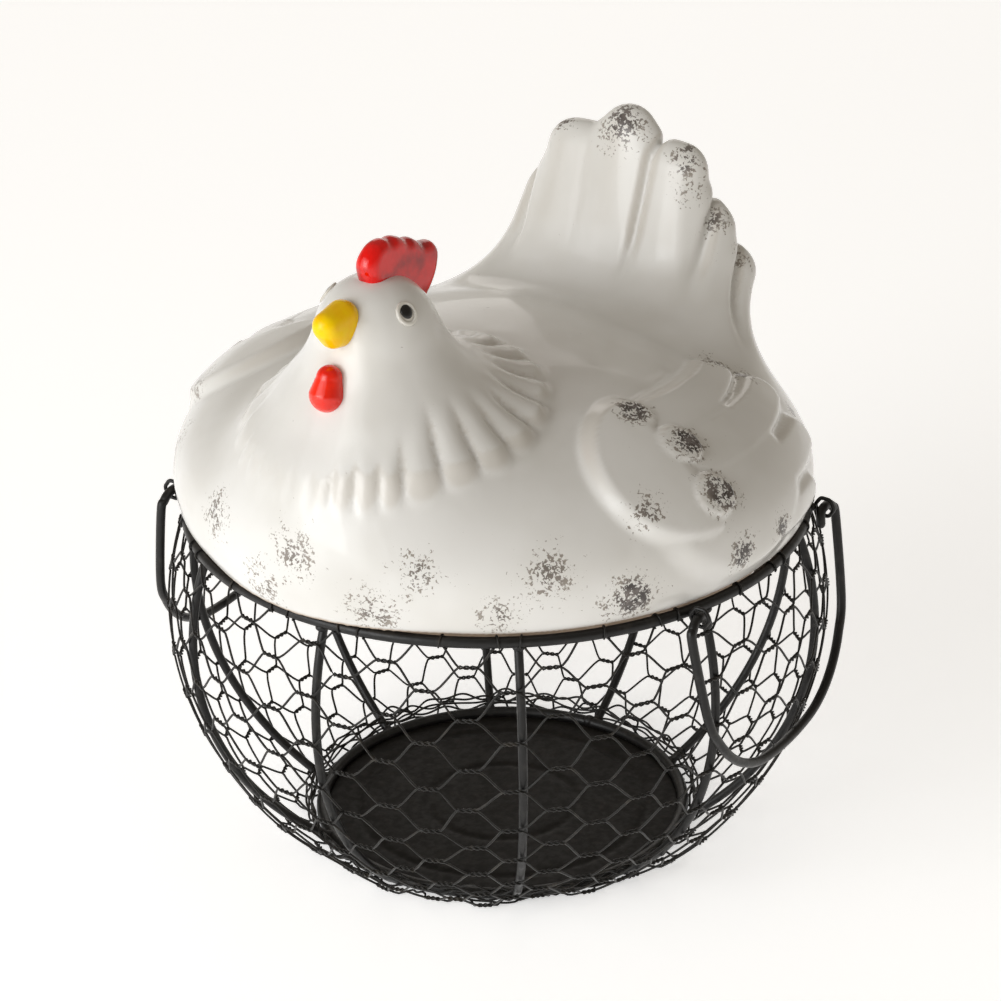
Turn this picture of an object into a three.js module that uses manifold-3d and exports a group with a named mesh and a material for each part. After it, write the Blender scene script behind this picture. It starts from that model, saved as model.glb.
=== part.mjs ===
// Round wire egg basket with hexagonal netting, two drop handles and a ceramic hen for a lid.
// Millimetres, +Z up. The origin is the centre of the underside of the base plate.
// The hen faces -Y, a few degrees towards -X. The handles are on +X (the hen's left) and on -X.
import * as THREE from 'three';
import { mergeVertices } from 'three/addons/utils/BufferGeometryUtils.js';
import Module from 'manifold-3d';

const wasm = await Module();
wasm.setup();

// Driving dimensions of the basket.
const GAP = 0.3;
const RIM_RADIUS = 105;
const RIM_HEIGHT = 119.6;
const RIM_WIRE = 3.8;
const RIB_COUNT = 10;
const RIB_WIRE = 3;
const FIRST_RIB_ANGLE = THREE.MathUtils.degToRad(33.8);
const BASE_RADIUS = 63.5;
const BASE_WIRE = 4;
const PLATE_THICKNESS = 1.2;
const NET_THICKNESS = 1;

// The ribs follow an ellipse: its greatest radius, the drop of that from the rim, and its half height.
const BELLY_RADIUS = 110;
const BELLY_DROP = 36;
const BELLY_HALF_HEIGHT = 100.5;

// Driving dimensions of the drop handles. Each hangs from two eyelets on the rim.
const HANDLE_WIRE = 3.2;
const HANDLE_HALF_WIDTH = 53.5;
const HANDLE_DROP = 65;
const HANDLE_SQUARENESS = 2.64;
const HANDLE_LEAN = THREE.MathUtils.degToRad(8.5);
const EYELET_RADIUS = 3.1;
const EYELET_WIRE = 1.6;
const EYELET_ANGLE = THREE.MathUtils.degToRad(24.3);

// Each end of a handle turns in through its eyelet and down into a short hook.
// Its points are distances along the hinge line from the eyelet, and down from that line.
const HOOK_OUTLINE = [[-4.2, 4.4], [-3.5, 1.4], [-1.8, 0], [2.4, 0], [5.4, 2], [6.8, 6.4]];

// Driving dimensions of the lid, in the hen's own frame. Heights are from the lid's lower edge.
const LID_TURN = THREE.MathUtils.degToRad(-6);
const LID_WALL = 6;
const LIP_OUTER_RADIUS = 99;
const LIP_WALL = 5;
const LIP_DEPTH = 6;
const LIP_ROOT_RADIUS = 103;
const LIP_ROOT_HEIGHT = 7;
const LIP_ROOT_STEP = 0.5;

// The neck's axis is this far forward of the middle. The head leans further forward between two heights.
const NECK_FRONT = 57;
const HEAD_LEAN = 5.5;
const HEAD_LEAN_FROM = 52;
const HEAD_LEAN_TO = 92;

// Radius and height up the outside of the body, and of the neck and head about their own axis.
const BODY_OUTLINE = [[104.6, 0], [106.6, 2.5], [108.4, 10], [108.2, 18], [105, 26], [98, 33.5],
  [88, 40.5], [76, 46.5], [60, 52], [42, 56], [22, 58.6], [0, 59.3]];
const NECK_OUTLINE = [[38, 0], [43, 12], [49, 26], [51, 36], [48.6, 44], [42.4, 51], [35.6, 59],
  [27.6, 70], [22.4, 79], [19.6, 86.5], [16.8, 92.2], [12.4, 97], [6.6, 100], [0, 101]];

// The rear of the body is drawn in by a share of its radius, which starts a little forward of the middle,
// fades in above the lower edge, and grows between two heights.
const REAR_TAPER_START = -0.2;
const REAR_TAPER_LOW = 0.018;
const REAR_TAPER_HIGH = 0.045;
const REAR_TAPER_FROM = 5;
const REAR_TAPER_TO = 40;
const REAR_TAPER_FOOT = 6;

// Root, tip, root radius and tip radius of the tail's lobes, from the middle one outwards.
const TAIL_LOBES = [
  [[0, 60, 20], [0, 83.5, 113.8], 19, 11.2],
  [[25, 57, 20], [21.6, 82.5, 104.6], 18, 10.4],
  [[35, 50, 18], [32.4, 85, 84.2], 16, 10.2],
  [[40, 48, 12], [39, 89.5, 68], 12, 9.8],
];
const TAIL_FLATNESS = 1.6;

// The webs between the lobes stop short of their tips. The core fills the fan behind them.
const WEB_SHORT_BY = 4;
const CORE = [[12, 60, 18], [14.3, 83.1, 94.5], 22, 11];

// Centre and half sizes of the ball that each folded wing is part of, on the hen's left.
const WING_CENTRE = [37.7, -4.1, 14.1];
const WING_HALF_SIZES = [71.4, 85.6, 41.5];

// Comb outline in side view: distance along Y, and height.
const COMB_THICKNESS = 9;
const COMB_BEVEL = 2.4;
const COMB_OUTLINE = [[-57, 92], [-65.5, 95.5], [-68.9, 104.6], [-67.8, 108.4], [-64, 111.6], [-59.6, 112.4],
  [-53.8, 111.5], [-48.4, 108.6], [-45.4, 108.3], [-40.2, 104.8], [-37.6, 104.6], [-34.2, 103.4],
  [-32.2, 100], [-33.4, 95], [-36, 90.6], [-40, 86.4], [-44, 83], [-50, 85]];

// Centres and half sizes of the small features of the face.
const BEAK_CENTRE = [0, -82.4, 90.6];
const BEAK_HALF_SIZES = [5.6, 9.6, 8];
const WATTLE_CENTRE = [0, -87.9, 71.2];
const WATTLE_HALF_SIZES = [5.7, 6.2, 7.8];
const EYE_CENTRE = [15.8, -66.7, 92.9];
const EYE_RADIUS = 2.5;

// How many flat facets or straight steps stand in for each round.
const RIM_FACETS = 56;
const BASE_FACETS = 40;
const NET_FACETS = 50;
const NET_STEPS = 9;
const RIB_STEPS = 14;
const HANDLE_STEPS = 54;
const BOW_STEPS = 14;
const THICK_WIRE_FACETS = 8;
const THIN_WIRE_FACETS = 6;
const NECK_FACETS = 30;
const PLUME_FACETS = 14;
const WING_FACETS = 36;
const SMALL_FACETS = 16;
const EYE_FACETS = 12;

// Worked out from the dimensions above.
const BELLY_HEIGHT = RIM_HEIGHT - BELLY_DROP;
const RIB_TOP_HEIGHT = RIM_HEIGHT - RIM_WIRE / 2 - 2 * GAP;
const RIB_FOOT_HEIGHT = BASE_WIRE / 2 + 1;
const NET_INNER_OFFSET = RIB_WIRE / 2 + 3 * GAP;
const NET_TOP_HEIGHT = RIB_TOP_HEIGHT - NET_THICKNESS;
const HINGE_RADIUS = RIM_RADIUS + RIM_WIRE / 2 + GAP + EYELET_RADIUS + EYELET_WIRE / 2;
const HINGE_X = HINGE_RADIUS * Math.cos(EYELET_ANGLE);
const HINGE_HALF = HINGE_RADIUS * Math.sin(EYELET_ANGLE);
const LID_HEIGHT = RIM_HEIGHT + RIM_WIRE / 2 + 2 * GAP;

// Materials.
function material(color, roughness, metalness) {
  return new THREE.MeshStandardMaterial({ color, roughness, metalness });
}

const blackWire = () => material(0x1b1a19, 0.45, 0.6);
const whiteGlaze = () => material(0xe9e6e0, 0.15, 0);
const redGlaze = () => material(0xc8170f, 0.12, 0);
const yellowGlaze = () => material(0xf0c800, 0.12, 0);
const blackGlaze = () => material(0x0c0b0b, 0.1, 0);

// Shape helpers.
function onCircle(radius, angle, height) {
  return new THREE.Vector3(radius * Math.sin(angle), -radius * Math.cos(angle), height);
}

function turned(profile, segments) {
  return new THREE.LatheGeometry(profile, segments).rotateX(Math.PI / 2);
}

function wireRing(radius, wire, segments, sides) {
  const profile = [];
  for (let i = 0; i <= sides; i += 1) {
    const angle = (2 * Math.PI * (i % sides)) / sides;
    profile.push(new THREE.Vector2(radius + (wire / 2) * Math.cos(angle), (wire / 2) * Math.sin(angle)));
  }
  return turned(profile, segments);
}

function wireAlong(path, wire, steps, sides) {
  const section = new THREE.Shape();
  section.moveTo(wire / 2, 0);
  for (let i = 1; i < sides; i += 1) {
    const angle = (2 * Math.PI * i) / sides;
    section.lineTo((wire / 2) * Math.cos(angle), (wire / 2) * Math.sin(angle));
  }
  return new THREE.ExtrudeGeometry(section, { steps, extrudePath: path, bevelEnabled: false });
}

function stretchedBall(centre, halfSizes, segments) {
  const ball = new THREE.SphereGeometry(1, segments, Math.round(segments * 0.6));
  return ball.scale(...halfSizes).translate(...centre);
}

// Joining and cutting.
function toSolid(geometry) {
  const bare = geometry.clone();
  bare.deleteAttribute('normal');
  bare.deleteAttribute('uv');
  const merged = mergeVertices(bare, 1e-4);
  const index = merged.index.array;
  const triangles = [];
  for (let i = 0; i < index.length; i += 3) {
    const [a, b, c] = index.slice(i, i + 3);
    if (a !== b && b !== c && c !== a) {
      triangles.push(a, b, c);
    }
  }
  const mesh = new wasm.Mesh({
    numProp: 3,
    vertProperties: new Float32Array(merged.attributes.position.array),
    triVerts: new Uint32Array(triangles),
  });
  return new wasm.Manifold(mesh);
}

function toGeometry(solid) {
  const mesh = solid.getMesh();
  const geometry = new THREE.BufferGeometry();
  geometry.setAttribute('position', new THREE.BufferAttribute(new Float32Array(mesh.vertProperties), 3));
  geometry.setIndex(new THREE.BufferAttribute(new Uint32Array(mesh.triVerts), 1));
  geometry.computeVertexNormals();
  return geometry;
}

function joined(geometries) {
  return geometries.map(toSolid).reduce((sum, next) => sum.add(next));
}

function addPiece(group, name, geometry, look) {
  const mesh = new THREE.Mesh(geometry, look);
  mesh.name = name;
  group.add(mesh);
  return mesh;
}

// The basket's wall: radius and height of a point at an angle down the ellipse, pushed out by an offset.
function wallAngle(height) {
  return Math.asin((BELLY_HEIGHT - height) / BELLY_HALF_HEIGHT);
}

function wallPoint(angle, offset) {
  const normal = new THREE.Vector2(
    Math.cos(angle) / BELLY_RADIUS,
    -Math.sin(angle) / BELLY_HALF_HEIGHT,
  );
  normal.normalize();
  const radius = BELLY_RADIUS * Math.cos(angle) + offset * normal.x;
  const height = BELLY_HEIGHT - BELLY_HALF_HEIGHT * Math.sin(angle) + offset * normal.y;
  return new THREE.Vector2(radius, height);
}

class RibPath extends THREE.Curve {
  constructor(direction) {
    super();
    this.direction = direction;
  }

  getPoint(t, target = new THREE.Vector3()) {
    const angle = THREE.MathUtils.lerp(wallAngle(RIB_TOP_HEIGHT), wallAngle(RIB_FOOT_HEIGHT), t);
    const point = wallPoint(angle, 0);
    return target.copy(onCircle(point.x, this.direction, point.y));
  }
}

// Sub-parts of the basket.
function addRings(group) {
  const rimRing = wireRing(RIM_RADIUS, RIM_WIRE, RIM_FACETS, THICK_WIRE_FACETS);
  const rim = addPiece(group, 'rim_ring', rimRing, blackWire());
  rim.position.z = RIM_HEIGHT;
  const baseRing = wireRing(BASE_RADIUS, BASE_WIRE, BASE_FACETS, THICK_WIRE_FACETS);
  const base = addPiece(group, 'base_ring', baseRing, blackWire());
  base.position.z = BASE_WIRE / 2;
}

function addBasePlate(group) {
  const radius = BASE_RADIUS - BASE_WIRE / 2 - GAP;
  const disc = new THREE.CylinderGeometry(radius, radius, PLATE_THICKNESS, BASE_FACETS).rotateX(Math.PI / 2);
  const plate = addPiece(group, 'base_plate', disc, blackWire());
  plate.position.z = PLATE_THICKNESS / 2;
}

function addRibs(group) {
  for (let i = 0; i < RIB_COUNT; i += 1) {
    const direction = FIRST_RIB_ANGLE + (2 * Math.PI * i) / RIB_COUNT;
    const rib = wireAlong(new RibPath(direction), RIB_WIRE, RIB_STEPS, THIN_WIRE_FACETS);
    addPiece(group, `rib_${i + 1}`, rib, blackWire());
  }
}

// The netting is a thin bowl with an open mouth and an open bottom, outside the ribs.
function addNetting(group) {
  const top = wallAngle(NET_TOP_HEIGHT);
  const foot = wallAngle(RIB_FOOT_HEIGHT);
  const inner = [];
  const outer = [];
  for (let i = 0; i <= NET_STEPS; i += 1) {
    const angle = THREE.MathUtils.lerp(foot, top, i / NET_STEPS);
    inner.push(wallPoint(angle, NET_INNER_OFFSET));
    outer.push(wallPoint(angle, NET_INNER_OFFSET + NET_THICKNESS));
  }
  const profile = [...outer, ...inner.reverse(), outer[0].clone()];
  addPiece(group, 'netting', turned(profile, NET_FACETS), blackWire());
}

// Four wire eyelets outside the rim. A handle's ends pass through two of them along Y.
function addEyelets(group) {
  const sides = [['left', 1], ['right', -1]];
  const ends = [['front', -1], ['rear', 1]];
  for (const [side, sideSign] of sides) {
    for (const [end, endSign] of ends) {
      const ring = wireRing(EYELET_RADIUS, EYELET_WIRE, SMALL_FACETS, THIN_WIRE_FACETS);
      ring.rotateX(Math.PI / 2);
      const eyelet = addPiece(group, `${side}_eyelet_${end}`, ring, blackWire());
      eyelet.position.set(sideSign * HINGE_X, endSign * HINGE_HALF, RIM_HEIGHT);
    }
  }
}

// Handle outline: along the hinge line, and down from it. The bow is a squared-off half ellipse.
function handleOutline() {
  const points = HOOK_OUTLINE.map(([along, down]) => [HINGE_HALF + along, down]);
  const power = 2 / HANDLE_SQUARENESS;
  for (let i = 2; i <= BOW_STEPS - 2; i += 1) {
    const angle = (Math.PI * i) / BOW_STEPS;
    const across = Math.sign(Math.cos(angle)) * Math.abs(Math.cos(angle)) ** power;
    points.push([HANDLE_HALF_WIDTH * across, HANDLE_DROP * Math.sin(angle) ** power]);
  }
  const farHook = HOOK_OUTLINE.map(([along, down]) => [-HINGE_HALF - along, down]);
  return [...points, ...farHook.reverse()];
}

function addHandle(group, name, sideSign) {
  const points = handleOutline().map(([along, down]) => new THREE.Vector3(
    sideSign * down * Math.sin(HANDLE_LEAN),
    along,
    -down * Math.cos(HANDLE_LEAN),
  ));
  const path = new THREE.CatmullRomCurve3(points, false, 'centripetal');
  const bow = wireAlong(path, HANDLE_WIRE, HANDLE_STEPS, THICK_WIRE_FACETS);
  const handle = addPiece(group, name, bow, blackWire());
  handle.position.set(sideSign * HINGE_X, 0, RIM_HEIGHT);
}

// Sub-parts of the lid, in the hen's own frame: it faces -Y and its lower edge is at height 0.
function reshaped(geometry, change) {
  const positions = geometry.attributes.position;
  const point = new THREE.Vector3();
  for (let i = 0; i < positions.count; i += 1) {
    point.fromBufferAttribute(positions, i);
    change(point);
    positions.setXYZ(i, point.x, point.y, point.z);
  }
  return geometry;
}

function drawInRear(point) {
  const radius = Math.max(Math.hypot(point.x, point.y), 1e-6);
  const rearward = THREE.MathUtils.smoothstep(point.y / radius, REAR_TAPER_START, 1);
  const high = THREE.MathUtils.smoothstep(point.z, REAR_TAPER_FROM, REAR_TAPER_TO);
  const share = REAR_TAPER_LOW + REAR_TAPER_HIGH * high;
  const scale = 1 + rearward * share * THREE.MathUtils.smoothstep(point.z, 0, REAR_TAPER_FOOT);
  point.x /= scale;
  point.y /= scale;
}

function leanHead(point) {
  point.y -= HEAD_LEAN * THREE.MathUtils.smoothstep(point.z, HEAD_LEAN_FROM, HEAD_LEAN_TO);
}

// An outline moved in by a distance, square to itself. Its last point stays on the axis.
function insetOutline(outline, distance) {
  return outline.map(([radius, height], i) => {
    const before = outline[Math.max(i - 1, 0)];
    const after = outline[Math.min(i + 1, outline.length - 1)];
    const normal = new THREE.Vector2(after[1] - before[1], before[0] - after[0]).normalize();
    const inner = Math.max(radius - distance * normal.x, 0);
    return new THREE.Vector2(i === outline.length - 1 ? 0 : inner, height - distance * normal.y);
  });
}

function body() {
  const profile = [new THREE.Vector2(0, 0), ...insetOutline(BODY_OUTLINE, 0)];
  return reshaped(turned(profile, RIM_FACETS), drawInRear);
}

// The space inside the body, with the round mouth that the lip leaves.
function bodyHollow() {
  const mouth = LIP_OUTER_RADIUS - LIP_WALL;
  const upper = insetOutline(BODY_OUTLINE, LID_WALL).filter((point) => point.y > LIP_ROOT_HEIGHT);
  const profile = [
    new THREE.Vector2(0, -LIP_DEPTH * 2),
    new THREE.Vector2(mouth, -LIP_DEPTH * 2),
    new THREE.Vector2(mouth, LIP_ROOT_HEIGHT - 1),
    ...upper,
  ];
  return reshaped(turned(profile, RIM_FACETS), drawInRear);
}

function neck(growth) {
  const profile = insetOutline(NECK_OUTLINE, -growth);
  const foot = profile[0].y;
  const solid = reshaped(turned([new THREE.Vector2(0, foot), ...profile], NECK_FACETS), leanHead);
  return solid.translate(0, -NECK_FRONT, 0);
}

// A tapered bar with a rounded end, from a root to a tip that it just reaches, flattened front to back.
function plume(root, tip, rootRadius, tipRadius) {
  const length = root.distanceTo(tip) - tipRadius;
  const steps = 3;
  const profile = [new THREE.Vector2(0, -rootRadius), new THREE.Vector2(rootRadius, 0)];
  for (let i = 0; i < steps; i += 1) {
    const angle = (Math.PI / 2) * (i / steps);
    profile.push(new THREE.Vector2(tipRadius * Math.cos(angle), length + tipRadius * Math.sin(angle)));
  }
  profile.push(new THREE.Vector2(0, length + tipRadius));
  const turn = new THREE.Quaternion();
  turn.setFromUnitVectors(new THREE.Vector3(0, 0, 1), tip.clone().sub(root).normalize());
  const bar = turned(profile, PLUME_FACETS).scale(1, 1 / TAIL_FLATNESS, 1);
  return bar.applyQuaternion(turn).translate(root.x, root.y, root.z);
}

function mirroredPlumes(root, tip, rootRadius, tipRadius) {
  const signs = root.x === 0 ? [1] : [1, -1];
  return signs.map((sign) => {
    const side = new THREE.Vector3(sign, 1, 1);
    return plume(root.clone().multiply(side), tip.clone().multiply(side), rootRadius, tipRadius);
  });
}

function tailCore(inset) {
  const [rootPlace, tipPlace, rootRadius, tipRadius] = CORE;
  const root = new THREE.Vector3(...rootPlace);
  const tip = new THREE.Vector3(...tipPlace);
  tip.addScaledVector(tip.clone().sub(root).normalize(), -inset);
  return mirroredPlumes(root, tip, rootRadius - inset, tipRadius - inset);
}

// Halfway between two lobes, and a little short of their tips.
function web([root, tip, rootRadius, tipRadius], [nextRoot, nextTip, nextRootRadius, nextTipRadius]) {
  const foot = new THREE.Vector3(...root).lerp(new THREE.Vector3(...nextRoot), 0.5);
  const end = new THREE.Vector3(...tip).lerp(new THREE.Vector3(...nextTip), 0.5);
  end.addScaledVector(end.clone().sub(foot).normalize(), -WEB_SHORT_BY);
  return mirroredPlumes(foot, end, (rootRadius + nextRootRadius) / 2, (tipRadius + nextTipRadius) / 2);
}

// Tail: a middle lobe and three on each side, with webs between them, fanned from a common root.
function tail() {
  const lobes = TAIL_LOBES.flatMap(([root, tip, rootRadius, tipRadius]) => (
    mirroredPlumes(new THREE.Vector3(...root), new THREE.Vector3(...tip), rootRadius, tipRadius)
  ));
  const webs = TAIL_LOBES.slice(1).flatMap((lobe, rank) => web(TAIL_LOBES[rank], lobe));
  return [...tailCore(0), ...lobes, ...webs];
}

function wings() {
  const [x, y, z] = WING_CENTRE;
  return [1, -1].map((sign) => stretchedBall([sign * x, y, z], WING_HALF_SIZES, WING_FACETS));
}

// The ring under the lid that drops inside the rim, with the foot that joins it to the wall.
function lip() {
  const inner = LIP_OUTER_RADIUS - LIP_WALL;
  const profile = [
    new THREE.Vector2(inner, -LIP_DEPTH),
    new THREE.Vector2(LIP_OUTER_RADIUS, -LIP_DEPTH),
    new THREE.Vector2(LIP_OUTER_RADIUS, LIP_ROOT_STEP),
    new THREE.Vector2(LIP_ROOT_RADIUS, LIP_ROOT_STEP),
    new THREE.Vector2(LIP_ROOT_RADIUS, LIP_ROOT_HEIGHT),
    new THREE.Vector2(inner, LIP_ROOT_HEIGHT),
    new THREE.Vector2(inner, -LIP_DEPTH),
  ];
  return turned(profile, RIM_FACETS);
}

// Everything below the lid's lower edge, to cut off what the balls and the tail's roots reach down to.
function spaceBelow() {
  const reach = 4 * RIM_RADIUS;
  return new THREE.BoxGeometry(reach, reach, reach).translate(0, 0, -reach / 2);
}

function addLidBody(group) {
  const outside = joined([body(), neck(0), ...tail(), ...wings()]).subtract(toSolid(spaceBelow()));
  const hollows = joined([bodyHollow(), neck(-LID_WALL), ...tailCore(LID_WALL)]);
  const shell = outside.subtract(hollows).add(toSolid(lip()));
  addPiece(group, 'hen_body', toGeometry(shell), whiteGlaze());
}

// The coloured features are cut back so that they clear the head by the gap.
function cutToHead(geometry) {
  return toGeometry(toSolid(geometry).subtract(toSolid(neck(GAP))));
}

function addComb(group) {
  const outline = new THREE.Shape();
  outline.setFromPoints(COMB_OUTLINE.map(([along, up]) => new THREE.Vector2(along, up)));
  const blade = new THREE.ExtrudeGeometry(outline, {
    depth: COMB_THICKNESS - 2 * COMB_BEVEL,
    bevelEnabled: true,
    bevelThickness: COMB_BEVEL,
    bevelSize: COMB_BEVEL / 2,
    bevelOffset: -COMB_BEVEL / 2,
    bevelSegments: 2,
  });
  blade.translate(0, 0, COMB_BEVEL - COMB_THICKNESS / 2);
  blade.rotateX(Math.PI / 2).rotateZ(Math.PI / 2);
  addPiece(group, 'comb', cutToHead(blade), redGlaze());
}

function addBeakAndWattle(group) {
  const beak = stretchedBall(BEAK_CENTRE, BEAK_HALF_SIZES, SMALL_FACETS);
  addPiece(group, 'beak', cutToHead(beak), yellowGlaze());
  const wattle = stretchedBall(WATTLE_CENTRE, WATTLE_HALF_SIZES, SMALL_FACETS);
  addPiece(group, 'wattle', cutToHead(wattle), redGlaze());
}

function addEyes(group) {
  const [x, y, z] = EYE_CENTRE;
  const halfSizes = [EYE_RADIUS, EYE_RADIUS, EYE_RADIUS];
  for (const [name, sign] of [['left_eye', 1], ['right_eye', -1]]) {
    const pupil = stretchedBall([sign * x, y, z], halfSizes, EYE_FACETS);
    addPiece(group, name, cutToHead(pupil), blackGlaze());
  }
}

const basket = new THREE.Group();
addRings(basket);
addBasePlate(basket);
addRibs(basket);
addNetting(basket);
addEyelets(basket);
addHandle(basket, 'left_handle', 1);
addHandle(basket, 'right_handle', -1);

const lid = new THREE.Group();
lid.position.z = LID_HEIGHT;
lid.rotation.z = LID_TURN;
addLidBody(lid);
addComb(lid);
addBeakAndWattle(lid);
addEyes(lid);

const model = new THREE.Group();
model.add(basket, lid);

export default model;
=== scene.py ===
"""Looks of a wire egg basket with hexagonal netting and a glazed hen for a lid.

Metres, +Z up, in the same frame as the CAD. The handles' outline and the hen's own shape are in millimetres.
The hen's shape has axes of its own: it faces -Y, z = 0 is the lid's lower edge, and to_frame() turns it a
little about +Z and puts it in the shared frame.
"""

import math

import bpy
import numpy as np
from mathutils import Matrix, Vector


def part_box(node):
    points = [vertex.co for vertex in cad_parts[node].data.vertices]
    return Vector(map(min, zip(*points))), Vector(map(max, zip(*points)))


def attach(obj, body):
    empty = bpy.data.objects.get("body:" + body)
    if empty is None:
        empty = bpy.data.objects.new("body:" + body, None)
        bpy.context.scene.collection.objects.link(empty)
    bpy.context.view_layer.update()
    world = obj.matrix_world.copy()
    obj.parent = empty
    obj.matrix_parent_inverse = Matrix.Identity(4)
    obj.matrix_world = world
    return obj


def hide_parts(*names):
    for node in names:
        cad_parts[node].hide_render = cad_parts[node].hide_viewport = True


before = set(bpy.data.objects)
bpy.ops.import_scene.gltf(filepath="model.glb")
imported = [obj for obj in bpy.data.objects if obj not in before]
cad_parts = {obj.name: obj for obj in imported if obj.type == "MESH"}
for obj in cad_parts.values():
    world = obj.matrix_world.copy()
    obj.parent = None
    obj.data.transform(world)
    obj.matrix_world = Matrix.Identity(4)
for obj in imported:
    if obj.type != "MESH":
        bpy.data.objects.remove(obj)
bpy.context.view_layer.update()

MM = 0.001

# ---- Sizes taken from the CAD frame, in metres
RIM_LOW, RIM_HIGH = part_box("rim_ring")
BASE_LOW, BASE_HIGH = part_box("base_ring")
PLATE_LOW, PLATE_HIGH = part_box("base_plate")
RIM_WIRE = (RIM_HIGH.z - RIM_LOW.z) / 2
RIM_RADIUS = RIM_HIGH.x - RIM_WIRE
RIM_Z = (RIM_HIGH.z + RIM_LOW.z) / 2
BASE_WIRE = (BASE_HIGH.z - BASE_LOW.z) / 2
BASE_RADIUS = BASE_HIGH.x - BASE_WIRE
EYELET_LOW, EYELET_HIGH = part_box("left_eyelet_front")
HINGE_X = (EYELET_LOW.x + EYELET_HIGH.x) / 2
HINGE_Y = -(EYELET_LOW.y + EYELET_HIGH.y) / 2
EYELET_WIRE = (EYELET_HIGH.y - EYELET_LOW.y) / 2
EYELET_RADIUS = (EYELET_HIGH.z - EYELET_LOW.z) / 2 - EYELET_WIRE
LID_Z = RIM_HIGH.z + 0.6 * MM   # the lid's lower edge

# ---- The basket's wall is an ellipse: greatest radius, its height, and the half height
BELLY_RADIUS = 110 * MM
BELLY_Z = 83.6 * MM
BELLY_HALF_HEIGHT = 100.5 * MM
RIB_COUNT = 10
FIRST_RIB_ANGLE = math.radians(33.8)
RIB_WIRE = 1.5 * MM
HANDLE_WIRE = 1.6 * MM
HANDLE_HALF_WIDTH = 53.5    # millimetres
HANDLE_DROP = 65            # millimetres
HANDLE_SQUARENESS = 2.64    # 2 would be a half ellipse, and more is squarer
HANDLE_LEAN = math.radians(8.5)
LID_TURN = math.radians(-6)


def new_object(name, data):
    made = bpy.data.objects.new(name, data)
    bpy.context.scene.collection.objects.link(made)
    return made


# ---- Camera, above the hen's left front
CAMERA_AZIMUTH = math.radians(30.5)   # from -Y towards +X
CAMERA_ELEVATION = math.radians(25.71)
CAMERA_ROLL = math.radians(-1.157)
CAMERA_DISTANCE = 1.3357              # from the middle of the rim
CAMERA_LENS, CAMERA_SENSOR = 141.5, 36
CAMERA_SHIFT = (0.004, -0.0023)


def make_camera():
    back = Vector((
        math.sin(CAMERA_AZIMUTH) * math.cos(CAMERA_ELEVATION),
        -math.cos(CAMERA_AZIMUTH) * math.cos(CAMERA_ELEVATION),
        math.sin(CAMERA_ELEVATION),
    ))
    data = bpy.data.cameras.new("camera")
    data.lens = CAMERA_LENS
    data.sensor_width = CAMERA_SENSOR
    data.shift_x, data.shift_y = CAMERA_SHIFT
    data.dof.use_dof = False
    camera = new_object("camera", data)
    roll = Matrix.Rotation(CAMERA_ROLL, 4, "Z")
    turn = (-back).to_track_quat("-Z", "Y").to_matrix().to_4x4()
    camera.matrix_world = Matrix.Translation(Vector((0, 0, RIM_Z)) + back * CAMERA_DISTANCE) @ turn @ roll
    bpy.context.scene.camera = camera


make_camera()


# ---- Meshes
TINY = 1e-12
WIRE_END_DOME = np.array([0.98, 0.8, 0.45])   # places of the rings of a wire's domed end, in radii


def add_mesh(name, vertices, faces, material, body, nodes, slot):
    """faces is an array of polygons that all have as many corners, or a list of such arrays."""
    groups = faces if isinstance(faces, list) else [faces]
    counts = np.concatenate([np.full(len(g), g.shape[1]) for g in groups])
    corners = np.concatenate([g.ravel() for g in groups]).astype(np.int32)
    mesh = bpy.data.meshes.new(name)
    mesh.vertices.add(len(vertices))
    mesh.vertices.foreach_set("co", np.asarray(vertices, np.float32).ravel())
    mesh.loops.add(len(corners))
    mesh.loops.foreach_set("vertex_index", corners)
    mesh.polygons.add(len(counts))
    starts = np.concatenate([[0], np.cumsum(counts)[:-1]])
    mesh.polygons.foreach_set("loop_start", starts.astype(np.int32))
    mesh.update(calc_edges=True)
    mesh.shade_smooth()
    mesh.materials.append(material)
    piece = new_object(name, mesh)
    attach(piece, body)
    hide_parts(*nodes)
    return piece


def unit(v):
    return v / np.maximum(np.linalg.norm(v, axis=-1, keepdims=True), TINY)


def tube(path, radius, sides=12, closed=False, side_hint=(0, 0, 1)):
    """A round wire along a path, with domed ends if it is open. Returns vertices and faces."""
    p = np.asarray(path, float)
    if closed:
        along = unit(np.roll(p, -1, 0) - np.roll(p, 1, 0))
    else:
        along = unit(np.gradient(p, axis=0))
    radii = np.full(len(p), radius)
    if not closed:
        start = [p[0] - along[0] * radius * d for d in WIRE_END_DOME]
        end = [p[-1] + along[-1] * radius * d for d in WIRE_END_DOME[::-1]]
        p = np.vstack([start, p, end])
        along = np.vstack([[along[0]] * len(start), along, [along[-1]] * len(end)])
        shrink = np.sqrt(1 - WIRE_END_DOME**2)
        radii = np.concatenate([radius * shrink, radii, radius * shrink[::-1]])
    across = np.zeros_like(p)
    last = np.array(side_hint, float)
    for i, t in enumerate(along):
        last = last - t * (last @ t)
        last = last / np.linalg.norm(last)
        across[i] = last
    other = np.cross(along, across)
    turn = turns(sides)
    ring = (np.cos(turn)[None, :, None] * across[:, None] + np.sin(turn)[None, :, None] * other[:, None])
    vertices = (p[:, None] + ring * radii[:, None, None]).reshape(-1, 3)
    return vertices, grid_faces(len(p), sides, closed)


def grid_faces(rows, sides, closed):
    """Quads between rings of vertices, with a flat cap on each end ring if they aren't closed."""
    i = np.arange(rows if closed else rows - 1)[:, None]
    j = np.arange(sides)[None, :]
    this, following, beside = i * sides, (i + 1) % rows * sides, (j + 1) % sides
    quads = np.stack([this + j, this + beside, following + beside, following + j], -1).reshape(-1, 4)
    if closed:
        return [quads]
    caps = [np.arange(sides)[None, ::-1], ((rows - 1) * sides + np.arange(sides))[None]]
    return [quads] + caps


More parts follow.
